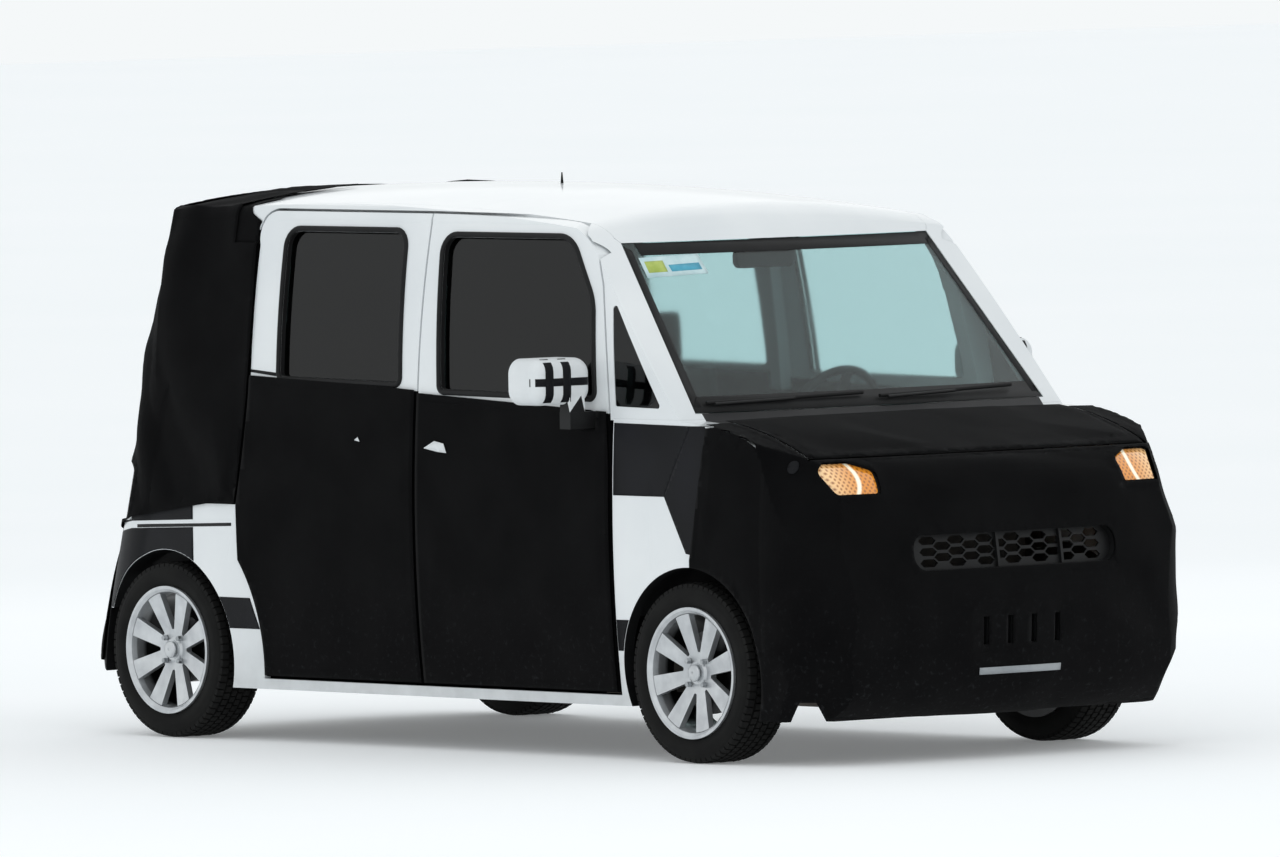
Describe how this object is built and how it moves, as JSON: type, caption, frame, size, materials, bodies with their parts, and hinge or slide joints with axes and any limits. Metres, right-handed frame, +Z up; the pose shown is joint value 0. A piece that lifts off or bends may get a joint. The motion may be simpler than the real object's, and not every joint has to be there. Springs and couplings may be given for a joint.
{
  "type": "hatchback",
  "caption": "Tall compact hatchback under a cloth test disguise, with opening doors, bonnet and tailgate, steering front wheels and a modelled cabin.",
  "frame": {"origin": "on the ground, under the middle of the box round the car", "axes": "+Z up, +Y towards the tail, -Y towards the nose, +X towards the car's left"},
  "size_m": [2.06, 3.5985, 1.7709],
  "materials": {
    "body_paint": "gloss",
    "underbody_steel": "satin",
    "cloth": "matte",
    "glass": "clear",
    "lamp": "clear",
    "tail_lamp": "clear",
    "black_plastic": "matte",
    "trim": "matte",
    "seat_cloth": "matte",
    "tyre": "matte",
    "alloy": "satin",
    "cast_iron": "rough",
    "exhaust_steel": "satin",
    "spring_steel": "satin",
    "mirror_shell": "gloss"
  },
  "bodies": {
    "body": {"side_frame_left": "body_paint", "side_frame_right": "body_paint", "roof_panel": "body_paint", "windscreen": "glass", "quarter_glass": "glass", "front_fenders": "body_paint", "front_bumper": "body_paint", "headlamps": "lamp", "tail_lamps": "tail_lamp", "grille": "black_plastic", "rear_bumper": "body_paint", "nose_cover": "cloth", "rear_cover": "cloth", "front_structure": "body_paint", "floor_pan": "body_paint", "wheel_liners": "black_plastic", "front_subframe": "underbody_steel", "front_struts": "spring_steel", "rear_axle": "underbody_steel", "exhaust": "exhaust_steel", "fuel_tank": "black_plastic", "engine": "cast_iron", "dashboard": "trim", "front_seats": "seat_cloth", "rear_seat": "seat_cloth", "interior_mirror": "trim", "rear_door_right": "body_paint", "rear_door_right_glass": "glass", "rear_door_right_cover": "cloth"},
    "bonnet": {"bonnet": "body_paint", "bonnet_cover": "cloth"},
    "tailgate": {"tailgate": "body_paint", "tailgate_glass": "glass", "tailgate_cover": "cloth"},
    "front_door_left": {"front_door_left": "body_paint", "front_door_left_glass": "glass", "front_door_left_cover": "cloth", "mirror_left": "mirror_shell"},
    "front_door_right": {"front_door_right": "body_paint", "front_door_right_glass": "glass", "front_door_right_cover": "cloth", "mirror_right": "mirror_shell"},
    "rear_door_left": {"rear_door_left": "body_paint", "rear_door_left_glass": "glass", "rear_door_left_cover": "cloth"},
    "steering_wheel": {"steering_wheel": "trim"},
    "knuckle_left": {"knuckle_left": "cast_iron"},
    "knuckle_right": {"knuckle_right": "cast_iron"},
    "wheel_front_left": {"tyre_front_left": "tyre", "rim_front_left": "alloy"},
    "wheel_front_right": {"tyre_front_right": "tyre", "rim_front_right": "alloy"},
    "wheel_rear_left": {"tyre_rear_left": "tyre", "rim_rear_left": "alloy"},
    "wheel_rear_right": {"tyre_rear_right": "tyre", "rim_rear_right": "alloy"}
  },
  "joints": [
    {"name": "bonnet_hinge", "type": "hinge", "parent": "body", "child": "bonnet", "pos_m": [0, -1.228, 1.028], "axis": [-1, 0, 0], "range_deg": [0, 60]},
    {"name": "tailgate_hinge", "type": "hinge", "parent": "body", "child": "tailgate", "pos_m": [0, 1.41, 1.706], "axis": [1, 0, 0], "range_deg": [0, 80]},
    {"name": "front_door_left_hinge", "type": "hinge", "parent": "body", "child": "front_door_left", "pos_m": [0.7855, -0.767, 0.6], "axis": [0, 0, -1], "range_deg": [0, 65]},
    {"name": "front_door_right_hinge", "type": "hinge", "parent": "body", "child": "front_door_right", "pos_m": [-0.7855, -0.767, 0.6], "axis": [0, 0, 1], "range_deg": [0, 65]},
    {"name": "rear_door_left_hinge", "type": "hinge", "parent": "body", "child": "rear_door_left", "pos_m": [0.7855, 0.1645, 0.6], "axis": [0, 0, -1], "range_deg": [0, 68]},
    {"name": "steering_left", "type": "hinge", "parent": "body", "child": "knuckle_left", "pos_m": [0.655, -1.164, 0.19], "axis": [-0.2381, 0, 0.9713], "range_deg": [-32, 32]},
    {"name": "steering_right", "type": "hinge", "parent": "body", "child": "knuckle_right", "pos_m": [-0.655, -1.164, 0.19], "axis": [0.2381, 0, 0.9713], "range_deg": [-32, 32]},
    {"name": "steering_wheel_turn", "type": "hinge", "parent": "body", "child": "steering_wheel", "pos_m": [0.37, -0.5, 0.985], "axis": [0, 0.891, 0.454], "range_deg": [-480, 480]},
    {"name": "wheel_front_left_spin", "type": "hinge", "parent": "knuckle_left", "child": "wheel_front_left", "pos_m": [0.7, -1.164, 0.276], "axis": [1, 0, 0], "continuous": true},
    {"name": "wheel_front_right_spin", "type": "hinge", "parent": "knuckle_right", "child": "wheel_front_right", "pos_m": [-0.7, -1.164, 0.276], "axis": [1, 0, 0], "continuous": true},
    {"name": "wheel_rear_left_spin", "type": "hinge", "parent": "body", "child": "wheel_rear_left", "pos_m": [0.7, 1.356, 0.276], "axis": [1, 0, 0], "continuous": true},
    {"name": "wheel_rear_right_spin", "type": "hinge", "parent": "body", "child": "wheel_rear_right", "pos_m": [-0.7, 1.356, 0.276], "axis": [1, 0, 0], "continuous": true}
  ],
  "couplings": [
    {"joint": "steering_right", "follows": "steering_left", "ratio": 1},
    {"joint": "steering_wheel_turn", "follows": "steering_left", "ratio": 15}
  ]
}
